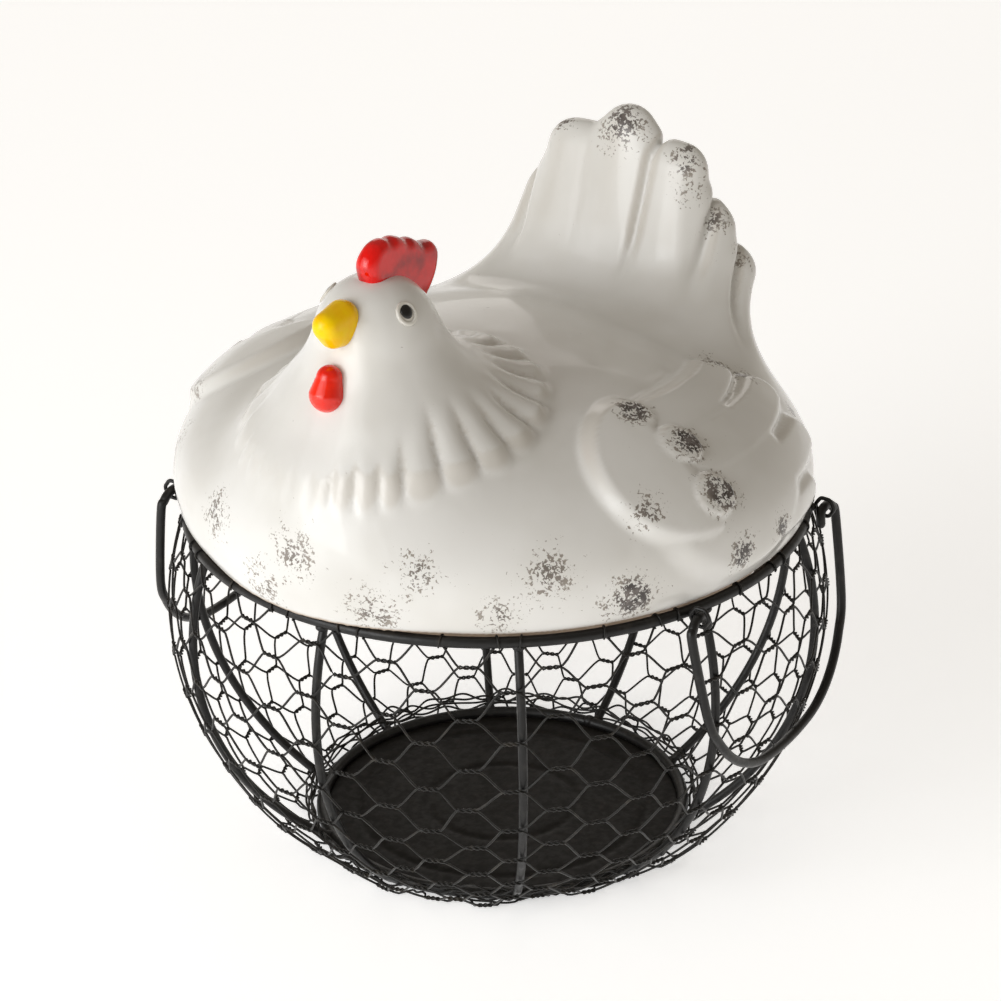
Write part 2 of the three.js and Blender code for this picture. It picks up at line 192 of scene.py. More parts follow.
def together(parts):
    """Joins several (vertices, faces) into one."""
    vertices, groups, count = [], {}, 0
    for v, faces in parts:
        vertices.append(v)
        for g in faces:
            groups.setdefault(g.shape[1], []).append(g + count)
        count += len(v)
    return np.vstack(vertices), [np.vstack(g) for g in groups.values()]


def blob(centre, half, turn=0.0, rings=10, sides=16):
    """A rounded lump, such as a weld bead, turned about Z. Its half sizes are in millimetres, and its poles
    are tiny flat caps."""
    pole = 0.04
    half = np.multiply(half, MM)
    up = np.linspace(pole, np.pi - pole, rings)
    x = half[0] * np.sin(up)[:, None] * np.cos(turns(sides))
    y = half[1] * np.sin(up)[:, None] * np.sin(turns(sides))
    z = half[2] * np.cos(up)[:, None] * np.ones(sides)
    c, s = math.cos(turn), math.sin(turn)
    vertices = np.stack([x * c - y * s, x * s + y * c, z], -1).reshape(-1, 3) + np.array(centre)
    return vertices, grid_faces(rings, sides, False)


def turns(steps):
    return np.arange(steps) * 2 * np.pi / steps


def polar(radius, direction, z):
    """Points at a radius and a direction from -Y towards +X."""
    return np.stack([radius * np.sin(direction), -radius * np.cos(direction), z], -1)


def ring_path(radius, z, steps=160):
    return polar(radius, turns(steps), np.full(steps, z))


def wall_angle(z):
    """The angle down the ellipse, from its widest place, to a height."""
    return np.arcsin((BELLY_Z - z) / BELLY_HALF_HEIGHT)


def wall_point(angle, direction, offset=0.0):
    """A point on the wall at an angle down the ellipse, pushed out by an offset."""
    nr, nz = np.cos(angle) / BELLY_RADIUS, -np.sin(angle) / BELLY_HALF_HEIGHT
    length = np.hypot(nr, nz)
    r = BELLY_RADIUS * np.cos(angle) + offset * nr / length
    z = BELLY_Z - BELLY_HALF_HEIGHT * np.sin(angle) + offset * nz / length
    return polar(r, direction, z + 0 * r)


# ---- Materials
class Look:
    """A node material under construction, with object coordinates ready."""

    def __init__(self, name):
        self.material = bpy.data.materials.new(name)
        self.material.use_nodes = True
        self.tree = self.material.node_tree
        self.shader = self.tree.nodes["Principled BSDF"]
        self.place = self.node("ShaderNodeTexCoord").outputs["Object"]

    def node(self, kind, **settings):
        made = self.tree.nodes.new(kind)
        for key, value in settings.items():
            setattr(made, key, value)
        return made

    def link(self, source, target):
        self.tree.links.new(source, target)

    def feed(self, name, source):
        self.link(source, self.shader.inputs[name])

    def set(self, **values):
        for key, value in values.items():
            self.shader.inputs[key.replace("_", " ")].default_value = value

    def noise(self, scale, detail=3.0, roughness=0.55, distortion=0.0):
        n = self.node("ShaderNodeTexNoise")
        self.link(self.place, n.inputs["Vector"])
        for socket, number in zip(("Scale", "Detail", "Roughness", "Distortion"),
                                  (scale, detail, roughness, distortion)):
            n.inputs[socket].default_value = number
        return n.outputs["Fac"]

    def spread(self, value, low, high, to_low=0.0, to_high=1.0):
        m = self.node("ShaderNodeMapRange", interpolation_type="SMOOTHSTEP")
        self.link(value, m.inputs["Value"])
        for key, number in (("From Min", low), ("From Max", high), ("To Min", to_low), ("To Max", to_high)):
            m.inputs[key].default_value = number
        return m.outputs["Result"]

    def math(self, kind, a, b):
        m = self.node("ShaderNodeMath", operation=kind)
        for socket, value in zip(m.inputs, (a, b)):
            if isinstance(value, (int, float)):
                socket.default_value = value
            else:
                self.link(value, socket)
        return m.outputs[0]

    def mix(self, amount, a, b):
        m = self.node("ShaderNodeMix", data_type="RGBA")
        for socket, value in ((m.inputs[0], amount), (m.inputs[6], a), (m.inputs[7], b)):
            if isinstance(value, tuple):
                socket.default_value = (*value, 1)
            else:
                self.link(value, socket)
        return m.outputs[2]

    def attribute(self, name):
        return self.node("ShaderNodeAttribute", attribute_name=name).outputs["Fac"]

    def bump(self, value, distance):
        b = self.node("ShaderNodeBump")
        self.link(value, b.inputs["Height"])
        b.inputs["Distance"].default_value = distance
        self.feed("Normal", b.outputs["Normal"])


def painted_wire(name, color, wear_and_sheen, roughness, grain, shine=0.3):
    """Black enamel over steel wire: a little orange-peel, and lighter grey-brown patches at random, partly
    rubbed paint and partly painted highlight and reflection.
    """
    look = Look(name)
    # lighter patches at random: partly rubbed paint, partly painted highlight and reflection of the wire's
    # sheen
    rub_and_sheen = look.spread(look.noise(260, detail=4), 0.52, 0.72)
    look.feed("Base Color", look.mix(rub_and_sheen, color, wear_and_sheen))
    rough = look.spread(look.noise(420), 0.3, 0.7, to_low=roughness - 0.07, to_high=roughness + 0.1)
    look.feed("Roughness", rough)
    look.set(Specular_IOR_Level=shine, Coat_Weight=shine * 0.4, Coat_Roughness=0.3)
    look.bump(look.noise(grain), 0.08 * MM)
    return look.material


def glaze(name, color, deep_and_shade, mottle, roughness=0.07, shine=0.4):
    """A coloured glaze that pools a little darker in places. On the comb the darker red is also painted
    shade, a shaded copy of the lit red.
    """
    look = Look(name)
    # darker glaze at random; on the comb this is also painted shade
    pool_and_shade = look.spread(look.noise(mottle), 0.35, 0.68)
    look.feed("Base Color", look.mix(pool_and_shade, color, deep_and_shade))
    rough = look.spread(look.noise(60, detail=2), 0.3, 0.7, to_low=roughness, to_high=roughness + 0.05)
    look.feed("Roughness", rough)
    look.set(Coat_Weight=shine * 0.6, Coat_Roughness=0.03, Specular_IOR_Level=shine)
    look.bump(look.noise(130, detail=2), 0.12 * MM)
    return look.material


HEN_WHITE = (0.76, 0.748, 0.722)
HEN_WHITE_POOLED = (0.70, 0.684, 0.648)
HEN_THIN_EDGE = (0.52, 0.47, 0.40)      # the body shows through where the glaze runs thin
SPONGE_DARK = (0.052, 0.043, 0.040)
SPONGE_MIDDLE = (0.15, 0.128, 0.118)
SPONGE_FAINT = (0.30, 0.265, 0.23)      # in the weaker patches
CLAY_DARK = (0.36, 0.26, 0.18)
CLAY_LIGHT = (0.48, 0.38, 0.29)
HEN_COAT = 0.42


def sponge_print(look):
    """How much of the sponged colour there is at each place: crisp specks inside each soft patch."""
    speck = look.noise(900, detail=4, roughness=0.6, distortion=0.5)
    clump = look.noise(230, detail=2, roughness=0.5, distortion=0.4)
    grain = look.math("ADD", look.math("MULTIPLY", speck, 0.68), look.math("MULTIPLY", clump, 0.32))
    level = look.math("ADD", grain, look.math("MULTIPLY", look.attribute("sponge"), 0.30))
    return look.spread(level, 0.690, 0.712)


def sponge_tint(look):
    tint = look.mix(look.spread(look.noise(260), 0.35, 0.65), SPONGE_DARK, SPONGE_MIDDLE)
    return look.mix(look.spread(look.attribute("sponge"), 0.48, 0.74), SPONGE_FAINT, tint)


def hen_glaze():
    """Warm white glaze with sponged grey-brown patches and a bare clay line along the lower edge."""
    look = Look("hen_glaze")
    white = look.mix(look.spread(look.noise(22), 0.35, 0.7), HEN_WHITE, HEN_WHITE_POOLED)
    white = look.mix(look.math("MULTIPLY", look.attribute("thin"), 0.4), white, HEN_THIN_EDGE)
    sponged = sponge_print(look)
    colour = look.mix(sponged, white, sponge_tint(look))
    bare = look.attribute("bare")
    clay = look.mix(look.noise(300), CLAY_DARK, CLAY_LIGHT)
    look.feed("Base Color", look.mix(bare, colour, clay))
    rough = look.spread(look.noise(45, detail=2), 0.3, 0.7, to_low=0.16, to_high=0.22)
    rough = look.math("ADD", rough, look.math("MULTIPLY", sponged, 0.08))
    look.feed("Roughness", look.math("ADD", rough, look.math("MULTIPLY", bare, 0.5)))
    look.feed("Coat Weight", look.math("SUBTRACT", HEN_COAT, look.math("MULTIPLY", bare, HEN_COAT)))
    look.set(Coat_Roughness=0.045, Specular_IOR_Level=0.32)
    look.bump(look.noise(55, detail=2), 0.28 * MM)
    return look.material


# Each second colour is lighter grey-brown, partly rubbed paint and partly painted highlight and reflection.
FRAME_BLACK = painted_wire("frame_black", (0.007, 0.0066, 0.0062), (0.020, 0.018, 0.016), 0.38, 900)
NET_BLACK = painted_wire("net_black", (0.007, 0.0062, 0.005), (0.030, 0.025, 0.019), 0.42, 1600)
PLATE_BLACK = painted_wire("plate_black", (0.0065, 0.0052, 0.004), (0.012, 0.009, 0.007), 0.6, 500, 0.14)
HEN_GLAZE = hen_glaze()
EYE_WHITE = glaze("eye_white", (0.70, 0.675, 0.62), (0.60, 0.57, 0.51), 200)
# The comb's second red is painted shade as well as deeper glaze: the colour of its shaded rear, laid at
# random.
COMB_RED = glaze("comb_red", (0.82, 0.0035, 0.0015), (0.36, 0.003, 0.0025), 95, 0.08, 0.45)
WATTLE_RED = glaze("wattle_red", (0.90, 0.022, 0.003), (0.74, 0.012, 0.002), 120, 0.08, 0.45)
BEAK_YELLOW = glaze("beak_yellow", (1.0, 0.66, 0.001), (0.95, 0.52, 0.001), 110, 0.1, 0.2)
PUPIL_BLACK = glaze("pupil_black", (0.006, 0.006, 0.006), (0.012, 0.011, 0.01), 200, 0.05)


# ---- The basket's frame
def add_frame_wire(name, wire, node, body="basket"):
    add_mesh(name, *wire, FRAME_BLACK, body, [node], "frame_wire")


RIM_WELD = (2.1, 1.9, 1.5)     # half sizes of the weld beads, in millimetres
BASE_WELD = (1.9, 2.0, 1.9)
BASE_SEAM = (2.6, 2.3, 2.2)
EYELET_WELD = (1.5, 1.3, 1.4)


def weld(direction, radius, z, half):
    return blob(polar(radius, direction, z), half, direction)


def rib_direction(i):
    return FIRST_RIB_ANGLE + 2 * math.pi * i / RIB_COUNT


def make_rings():
    under_rim = RIM_Z - RIM_WIRE * 0.95
    beads = [weld(rib_direction(i), RIM_RADIUS, under_rim, RIM_WELD) for i in range(RIB_COUNT)]
    rim = tube(ring_path(RIM_RADIUS, RIM_Z), RIM_WIRE, 14, True)
    add_frame_wire("rim_wire", together([rim] + beads), "rim_ring")
    seam = blob((0, BASE_RADIUS, BASE_WIRE + 0.3 * MM), BASE_SEAM)
    base = tube(ring_path(BASE_RADIUS, BASE_WIRE, 120), BASE_WIRE, 14, True)
    add_frame_wire("base_wire", together([base, seam]), "base_ring")


def make_ribs():
    """Each rib is bent down the wall, not quite straight, and welded to the base ring."""
    top, foot, steps = RIM_Z - RIM_WIRE * 0.9, BASE_WIRE + 1 * MM, 60
    for i in range(RIB_COUNT):
        angle = np.linspace(wall_angle(top), wall_angle(foot), steps)
        direction = rib_direction(i)
        sway = 0.6 * MM * math.sin(2.4 * i + 1)
        path = wall_point(angle, direction + sway * np.sin(np.linspace(0, math.pi, steps)) / BELLY_RADIUS)
        foot_weld = weld(direction, BASE_RADIUS + BASE_WIRE * 0.8, BASE_WIRE * 1.25, BASE_WELD)
        add_frame_wire(f"rib_{i + 1}_wire", together([tube(path, RIB_WIRE), foot_weld]), f"rib_{i + 1}")


PLATE_GROOVES = (0.42, 0.82)    # radius of each pressed ring, as a share of the plate's
PLATE_GROOVE_DEPTH = 0.55 * MM
PLATE_GROOVE_WIDTH = 1.6 * MM
PLATE_EDGE_IN = np.array([1.2, 0.5, 0.1, 0]) * MM        # the rolled edge, in from its outside
PLATE_EDGE_DOWN = np.array([0.0, 0.08, 0.3, 0.6]) * MM   # and down from the plate's top


def make_plate():
    """A pressed sheet-metal disc with a rolled edge and two shallow rings pressed into it."""
    edge = PLATE_HIGH.x + 0.9 * MM   # tucked against the base ring
    radius = np.concatenate([np.linspace(0.5 * MM, edge - 2 * MM, 70), edge - PLATE_EDGE_IN])
    top = np.full(len(radius), PLATE_HIGH.z - 0.1 * MM)
    for groove in PLATE_GROOVES:
        top -= PLATE_GROOVE_DEPTH * np.exp(-(((radius - groove * edge) / PLATE_GROOVE_WIDTH) ** 2))
    top[-len(PLATE_EDGE_DOWN):] -= PLATE_EDGE_DOWN
    r = np.concatenate([radius, radius[::-1]])[:, None]
    z = np.concatenate([top, np.full(len(radius), PLATE_LOW.z + 0.05 * MM)])[:, None]
    turn = turns(96)
    vertices = polar(r, turn, z + 0 * turn).reshape(-1, 3)
    faces = grid_faces(len(r), len(turn), False)
    add_mesh("plate_disc", vertices, faces, PLATE_BLACK, "basket", ["base_plate"], "base_plate")


def make_eyelets():
    """Thin wire loops outside the rim, bent to rough hexagons, each with its weld to the rim."""
    for side, sign in (("left", 1), ("right", -1)):
        for end, along in (("front", -1), ("rear", 1)):
            turn = turns(72)
            flat = 1 + 0.035 * np.cos(6 * turn + 0.5)
            centre = np.array([sign * HINGE_X, along * HINGE_Y, RIM_Z])
            loop = np.stack([np.cos(turn) * flat, 0 * turn, np.sin(turn) * flat], -1) * EYELET_RADIUS
            inward = -np.array([centre[0], centre[1], 0]) / math.hypot(centre[0], centre[1])
            foot = centre + inward * (EYELET_RADIUS + 0.9 * MM)
            parts = [tube(loop + centre, EYELET_WIRE, 10, True, (0, 1, 0)), blob(foot, EYELET_WELD)]
            name = f"{side}_eyelet_{end}"
            add_frame_wire(f"{name}_wire", together(parts), name)


def smooth_path(points, parts=8):
    """A Catmull-Rom curve through the points, with so many steps between each two."""
    p = np.array(points, float)
    q = np.vstack([2 * p[0] - p[1], p, 2 * p[-1] - p[-2]])
    t = np.linspace(0, 1, parts, endpoint=False)[:, None]
    out = []
    for a, b, c, d in zip(q[:-3], q[1:-2], q[2:-1], q[3:]):
        out.append(0.5 * (2 * b + (c - a) * t + (2 * a - 5 * b + 4 * c - d) * t**2
                          + (3 * b - a - 3 * c + d) * t**3))
    return np.vstack(out + [p[-1:]])


HANDLE_HOOK = [(-4.2, 4.4), (-3.5, 1.4), (-1.8, 0), (2.4, 0), (5.4, 2), (6.8, 6.4)]   # from the eyelet


def handle_outline():
    """Along the hinge line and down from it: a hook through each eyelet and one squared-off bow."""
    near = [(HINGE_Y / MM + along, down) for along, down in HANDLE_HOOK]
    power = 2 / HANDLE_SQUARENESS
    steps = 14
    bow = []
    for i in range(2, steps - 1):
        c, s = math.cos(math.pi * i / steps), math.sin(math.pi * i / steps)
        bow.append((HANDLE_HALF_WIDTH * math.copysign(abs(c) ** power, c), HANDLE_DROP * s**power))
    far = [(-along, down) for along, down in near[::-1]]
    return smooth_path(near + bow + far, 9) * MM


def make_handles():
    along, down = handle_outline().T
    for name, sign in (("left_handle", 1), ("right_handle", -1)):
        out = sign * (HINGE_X + down * math.sin(HANDLE_LEAN))
        path = np.stack([out, along, RIM_Z - down * math.cos(HANDLE_LEAN)], -1)
        add_frame_wire(f"{name}_wire", tube(path, HANDLE_WIRE, 14, False, (1, 0, 0)), name, name)


# ---- Hexagonal netting, twisted from thin wire and wrapped round the outside of the ribs
NET_COLUMNS = 50
NET_PITCH = 8.5 * MM
NET_WIRE = 0.4 * MM
NET_TWIST_LENGTH = 6.2 * MM
NET_TWIST_TURNS = 1.5
NET_OFFSET = 2.3 * MM        # from the wall out to the netting, clear of the ribs
NET_LOWEST = NET_WIRE + 0.3 * MM
NET_SIDES = 6
TWIST_STEPS = 9
SLANT_STEPS = 4
SELVAGE_TURNS = 5
SELVAGE_STEPS = 420
SELVAGE_WAVES = (7, 11, 17, 23, 31)    # waves round the base, in and out
SELVAGE_LIFTS = (9, 13, 19, 29)        # and up and down
LOOP_STEPS = 22
TURN_SEED, DEPTH_SEED, SELVAGE_SEED = 11, 12, 14


def net_wobble(seed, rows, amount):
    """Smooth unevenness of the netting, which joins up all the way round."""
    rng = np.random.default_rng(seed)
    raw = rng.normal(0, 1, (rows, NET_COLUMNS))
    soft = raw + 0.5 * (np.roll(raw, 1, 1) + np.roll(raw, -1, 1))
    return amount * soft / 1.22   # back to about the size of a single draw


def wall_table():
    """Distance down the wall from the rim, against the angle down the ellipse."""
    angle = np.linspace(wall_angle(RIM_Z), wall_angle(0.0), 400)
    p = wall_point(angle, 0.0)
    travelled = np.concatenate([[0], np.cumsum(np.linalg.norm(np.diff(p, axis=0), axis=1))])
    return travelled, angle


TRAVELLED, WALL_ANGLES = wall_table()
NET_DEPTH = TRAVELLED[-1] - 3.2 * MM


def net_points(direction, depth, out):
    """Points of the netting at a direction and a distance down the wall, pushed out by a little."""
    angle = np.interp(depth, TRAVELLED, WALL_ANGLES)
    taut = 0.62   # the share of the depth below which the netting is slack
    low = np.clip((depth - taut * NET_DEPTH) / ((1 - taut) * NET_DEPTH), 0, 1)
    slack = low * (1.1 * np.sin(5 * direction + 0.7) + 0.8 * np.sin(13 * direction + 2) + 0.9) * MM
    between = 0.5 - 0.5 * np.cos(RIB_COUNT * (direction - FIRST_RIB_ANGLE))
    belly = np.sin(np.pi * np.clip(depth / NET_DEPTH, 0, 1))
    points = wall_point(angle, direction, NET_OFFSET + out + slack + 0.8 * MM * between * belly)
    points[..., 2] = np.maximum(points[..., 2], NET_LOWEST)
    return points


def with_slants(twists, following, ease):
    """Values along each twist, and then along the slant from its end to the next twist's start."""
    return np.hstack([twists, twists[:, -1:] + (following - twists[:, -1:]) * ease])


def net_wire(k, rows, jog_turn, jog_depth):
    """One wire of the netting. It runs round the basket, twisted with the wire above and the wire below
    it by turns."""
    column = np.arange(NET_COLUMNS)
    row = k + (column + k) % 2
    side = np.where(row == k, 1.0, -1.0)
    depth = row * NET_PITCH + jog_depth[row % rows, column]
    turn = (column + 0.5) * 2 * np.pi / NET_COLUMNS + jog_turn[row % rows, column]
    depth = np.clip(depth, 0.4 * MM, NET_DEPTH)
    narrow = np.cos(np.interp(depth, TRAVELLED, WALL_ANGLES))
    half = NET_TWIST_LENGTH * (0.45 + 0.55 * narrow) / 2 / (BELLY_RADIUS * narrow)
    u = np.linspace(-1, 1, TWIST_STEPS)
    helix = side[:, None] * np.pi / 2 + np.pi * NET_TWIST_TURNS * u + np.pi / 2
    gap = NET_WIRE * 1.08
    turn = turn[:, None] + half[:, None] * u
    depth = depth[:, None] + gap * np.sin(helix)
    out = gap * np.cos(helix)
    w = np.linspace(0, 1, SLANT_STEPS + 2)[1:-1]
    ease = w * w * (3 - 2 * w) * 0.35 + w * 0.65
    turn_next, depth_next, out_next = (np.roll(value, -1, 0)[:, :1] for value in (turn, depth, out))
    turn_next = turn_next + 2 * np.pi * (turn_next < turn[:, -1:])
    turn, depth = with_slants(turn, turn_next, w), with_slants(depth, depth_next, ease)
    return net_points(turn.ravel(), depth.ravel(), with_slants(out, out_next, w).ravel())


def make_netting():
    count = int(NET_DEPTH / NET_PITCH)
    jog_turn = net_wobble(TURN_SEED, count + 3, 0.55 * MM / BELLY_RADIUS)
    jog_depth = net_wobble(DEPTH_SEED, count + 3, 0.45 * MM)
    parts = []
    for k in range(count + 1):
        path = net_wire(k, count + 3, jog_turn, jog_depth)
        parts.append(tube(path, NET_WIRE, NET_SIDES, True))
    parts += net_selvage()
    parts += rim_loops(jog_turn[0])
    add_mesh("netting_wire", *together(parts), NET_BLACK, "basket", ["netting"], "netting_wire")


def uneven(rng, turn, waves):
    """A sum of random waves round the basket."""
    return sum(rng.normal(0, 1) * np.sin(n * turn + rng.uniform(0, 6.28)) for n in waves)


def net_selvage():
    """The netting's lower edge, gathered and tucked round the base ring in crumpled turns."""
    rng = np.random.default_rng(SELVAGE_SEED)
    turn = turns(SELVAGE_STEPS)
    parts = []
    for loop in range(SELVAGE_TURNS):
        wave = uneven(rng, turn, SELVAGE_WAVES)
        lift = uneven(rng, turn, SELVAGE_LIFTS)
        radius = BASE_RADIUS + (3.1 + 0.55 * loop + 0.42 * wave) * MM
        radius = np.maximum(radius, BASE_RADIUS + 2.4 * MM)
        z = np.maximum(BASE_WIRE + (0.3 + 1.1 * loop + 0.75 * lift) * MM, NET_LOWEST)
        parts.append(tube(polar(radius, turn, z), NET_WIRE, NET_SIDES, True))
    return parts


def rim_loop(centre, side):
    """One end of wire, turned once round the rim to one side of a twist of the netting."""
    u = np.linspace(0, 1, LOOP_STEPS)
    around = -0.6 + u * 2 * np.pi * 0.95
    reach = RIM_WIRE + NET_WIRE * 0.9
    direction = centre + side * (NET_TWIST_LENGTH * 0.5 + 2.0 * MM * u) / RIM_RADIUS
    r = RIM_RADIUS + reach * np.cos(around)
    z = RIM_Z + reach * np.sin(around) * 0.97
    return tube(polar(r, direction, z), NET_WIRE * 0.9, NET_SIDES, False, (0, 0.3, 1))


def rim_loops(jog):
    """The ends of the netting's top row are turned once round the rim, where they haven't been cut off."""
    parts = []
    for column in range(0, NET_COLUMNS, 2):
        centre = (column + 0.5) * 2 * np.pi / NET_COLUMNS + jog[column]
        sides = (-1, 1) if column % 4 == 0 else (1,)
        parts += [rim_loop(centre, side) for side in sides]
    return parts


make_rings()
make_ribs()
make_plate()
make_eyelets()
make_handles()
make_netting()


# ---- The hen's shape, as a distance field in its own millimetres
NECK_AXIS_Y = -57.0
HEAD_LEAN = 5.5
BODY_OUTLINE = [(104.6, 0), (106.6, 2.5), (108.2, 8), (108.6, 15), (106.4, 23), (100.6, 31), (91.4, 38.5),
                (79, 45), (65, 50.5), (48, 55), (28, 58), (0, 59.3)]
NECK_OUTLINE = [(47.6, 0), (50, 8), (51, 20), (50.3, 32), (46.6, 44), (36.8, 57.5), (27.6, 70), (22.4, 79),
                (19.6, 86.5), (16.8, 92.2), (12.4, 97), (6.6, 100), (0, 101)]
LOBES = [  # root, tip, root radius and tip radius of each tail lobe, from the middle one outwards
    ((0, 60, 20), (0, 83.5, 113.8), 19.0, 11.2),
    ((25, 57, 20), (21.6, 82.5, 104.6), 18.0, 10.4),
    ((35, 50, 18), (32.4, 85, 84.2), 16.0, 10.2),
    ((40, 48, 12), (39, 89.5, 68.0), 12.0, 9.8),
]
TAIL_CORE = ((12, 60, 18), (14, 80, 84), 22, 11)   # as a lobe, a filling behind the fan's grooves
NECK_BLEND = 14             # millimetres over which the neck and the back run together
TAIL_FLATNESS = 1.6         # how much wider each lobe is than it is thick
TAIL_BLEND = 25             # the same for the tail
GROOVE_DEPTH = 2.3
GROOVE_WIDTH = 2.1
CAPE_RADIUS = 49.5
CAPE_THICKNESS = 2.8
FLUTE_PITCH = 9.4           # degrees round the neck, at the breast
WING_SCALE = (1.55, 1.8)    # millimetres for each degree of azimuth and of elevation
# A place on the wings is an azimuth and an elevation in degrees, and the rest is in millimetres.
FEATHERS = [  # azimuth of both ends, elevation of both ends, half width at both ends, height
    (84, 119, 34.6, 33.4, 10.6, 8.6, 2.9),
    (84, 122, 25.6, 23.6, 10.6, 8.4, 2.8),
    (84, 118, 16.8, 14.6, 9.6, 7.6, 2.5),
    (84, 110, 8.6, 6.8, 7.6, 6.2, 2.1),
]
COVERTS = [(77, 36.8, 9.2, 3.7), (80, 28.2, 9.0, 4.6), (79, 18.4, 8.4, 4.8)]   # place, radius, height
SHOULDER = (76, 27, 31.0, 30.0)       # place, half width, half height
SHOULDER_HEIGHT = 3.9
SHOULDER_END = 80                     # azimuth at which it sinks under the feathers
FEATHER_BASE = (86, 21, 36.0, 36.0)   # as the shoulder. The feathers part beyond it
FEATHER_BASE_HEIGHT = 2.5
EYE = (15.8, -66.7, 92.9)
COMB_POINTS = [(-65.5, 95.5), (-67.6, 100), (-68.9, 104.6), (-67.8, 108.4), (-64, 111.6),
               (-59.6, 112.4), (-56.8, 111.4), (-53.8, 111.5), (-50.6, 110.2), (-48.4, 108.6),
               (-45.4, 108.3), (-42.4, 106.6), (-40.2, 104.8), (-37.6, 104.4), (-34.2, 103.4),
               (-32.2, 100), (-33.4, 95), (-36, 90.6), (-40, 86.4), (-44, 83), (-50, 85), (-57, 92)]
BEAK_ROOT = (0, -80, 92.8)
BEAK_TIP = (0, -92.0, 92.2)
WATTLE_ENDS = ((0, -87.2, 74.4), (0, -88.6, 69.4))
WATTLE_RADII = (4.3, 5.9)
SPARSE, DENSE = 0.62, 0.82
SPONGE_SPOTS = [  # place, size and strength of the sponged patches that are not in a row
    ((67, -16, 52), 8.5, DENSE), ((86, -13, 45), 9.5, DENSE), ((101, -17, 33), 10.5, DENSE),
    ((91, -44, 34), 10, SPARSE), ((61, 41, 48), 9, 0.72), ((69, 47, 42), 8, 0.70),
    ((79, 59, 27), 7, SPARSE), ((108, -16, 14), 8.5, DENSE), ((109, 6, 14), 8, 0.70),
    ((94, -55, 10), 11, DENSE), ((0, 78, 108), 13, 0.72), ((7, 80, 98), 6, SPARSE),
    ((-25, 79, 103), 6.5, 0.66),
]
LOWER_ROW, UPPER_ROW = (8.5, -6, 21.2), (22, -21, 22)   # height, first azimuth and pitch in degrees
ROW_RADIUS = 108
BESIDE_WING = (60, 140)                # azimuths, on both sides, where the rows leave room for the wings
LOBE_STRENGTHS = (0.70, 0.78, 0.74)    # of the patches on the tips of the hen's left tail lobes


def blend_min(a, b, width):
    """The nearer of two distances, rounded where they are within a width of each other."""
    h = np.maximum(width - np.abs(a - b), 0) / width
    return np.minimum(a, b) - h * h * width * 0.25


def rise(low, high, x):
    """From 0 at low to 1 at high, eased at both ends. It falls instead if low is the greater."""
    t = np.clip((x - low) / (high - low), 0, 1)
    return t * t * (3 - 2 * t)


def outline_distance(u, v, outline, turned=False):
    """Signed distance to a closed outline, negative inside. If it is to be turned about u = 0, its stretch
    along that axis isn't an edge."""
    p = np.array(outline, float)
    nearest = np.full(np.shape(u), 1e9)
    inside = np.zeros(np.shape(u), bool)
    for (au, av), (bu, bv) in zip(p, np.roll(p, -1, 0)):
        eu, ev = bu - au, bv - av
        length = eu * eu + ev * ev
        if length < TINY:
            continue
        t = np.clip(((u - au) * eu + (v - av) * ev) / length, 0, 1)
        on_axis = turned and max(au, bu) < 1e-6
        if not on_axis:
            nearest = np.minimum(nearest, (u - au - t * eu) ** 2 + (v - av - t * ev) ** 2)
        if abs(ev) > TINY:
            inside ^= ((av <= v) != (bv <= v)) & (u < au + (v - av) * eu / ev)
    return np.where(inside, -1, 1) * np.sqrt(nearest)


class Turned:
    """Signed distance of an outline turned about a vertical axis, kept as a grid over radius and height."""

    def __init__(self, outline, step=0.5, margin=40):
        p = np.array(outline, float)
        self.step = step
        self.low = p[:, 1].min() - margin
        radius = np.arange(0, p[:, 0].max() + margin, step)
        height = np.arange(self.low, p[:, 1].max() + margin, step)
        self.grid = outline_distance(*np.meshgrid(radius, height, indexing="ij"), p, turned=True)

    def __call__(self, r, z):
        i = np.clip(r / self.step, 0, self.grid.shape[0] - 1.001)
        j = np.clip((z - self.low) / self.step, 0, self.grid.shape[1] - 1.001)
        i0, j0 = i.astype(int), j.astype(int)
        i, j = i - i0, j - j0
        g = self.grid
        near = g[i0, j0] * (1 - i) + g[i0 + 1, j0] * i
        far = g[i0, j0 + 1] * (1 - i) + g[i0 + 1, j0 + 1] * i
        return near * (1 - j) + far * j


def along_bar(x, y, z, a, b):
    """How far each point is along a bar from a to b, 0 to 1, and its offset from that place on the bar."""
    a, b = np.array(a, float), np.array(b, float)
    ab = b - a
    t = np.clip(((x - a[0]) * ab[0] + (y - a[1]) * ab[1] + (z - a[2]) * ab[2]) / (ab @ ab), 0, 1)
    return t, x - a[0] - ab[0] * t, y - a[1] - ab[1] * t, z - a[2] - ab[2] * t


def capsule(x, y, z, a, b, radius_a, radius_b):
    """Distance to a tapered round bar."""
    t, qx, qy, qz = along_bar(x, y, z, a, b)
    return np.sqrt(qx**2 + qy**2 + qz**2) - radius_a - (radius_b - radius_a) * t


def closed(outline):
    foot = -25
    return np.vstack([[(0, foot), (outline[0][0], foot)], smooth_path(outline)])


BODY = Turned(closed(BODY_OUTLINE))
NECK = Turned(closed(NECK_OUTLINE))


def plume(x, y, z, a, b, radius_a, radius_b):
    """Distance to a tapered bar flattened from front to back, and how far along it each point is."""
    t, qx, qy, qz = along_bar(x, y, z, a, b)
    rise_y, rise_z = b[1] - a[1], b[2] - a[2]
    through = (qy * rise_z - qz * rise_y) / math.hypot(rise_y, rise_z)
    d = np.sqrt(qx**2 + qy**2 + qz**2 + (TAIL_FLATNESS**2 - 1) * through**2)
    return (d - radius_a - (radius_b - radius_a) * t) * 0.8, t


def lobe_bars():
    """Root, end, both radii and direction of each tail lobe's bar, whose end is short of the lobe's tip."""
    bars = []
    for root, tip, root_radius, radius in LOBES:
        root, tip = np.array(root, float), np.array(tip, float)
        along = (tip - root) / np.linalg.norm(tip - root)
        bars.append((root, tip - along * radius, root_radius, radius, along))
    return bars


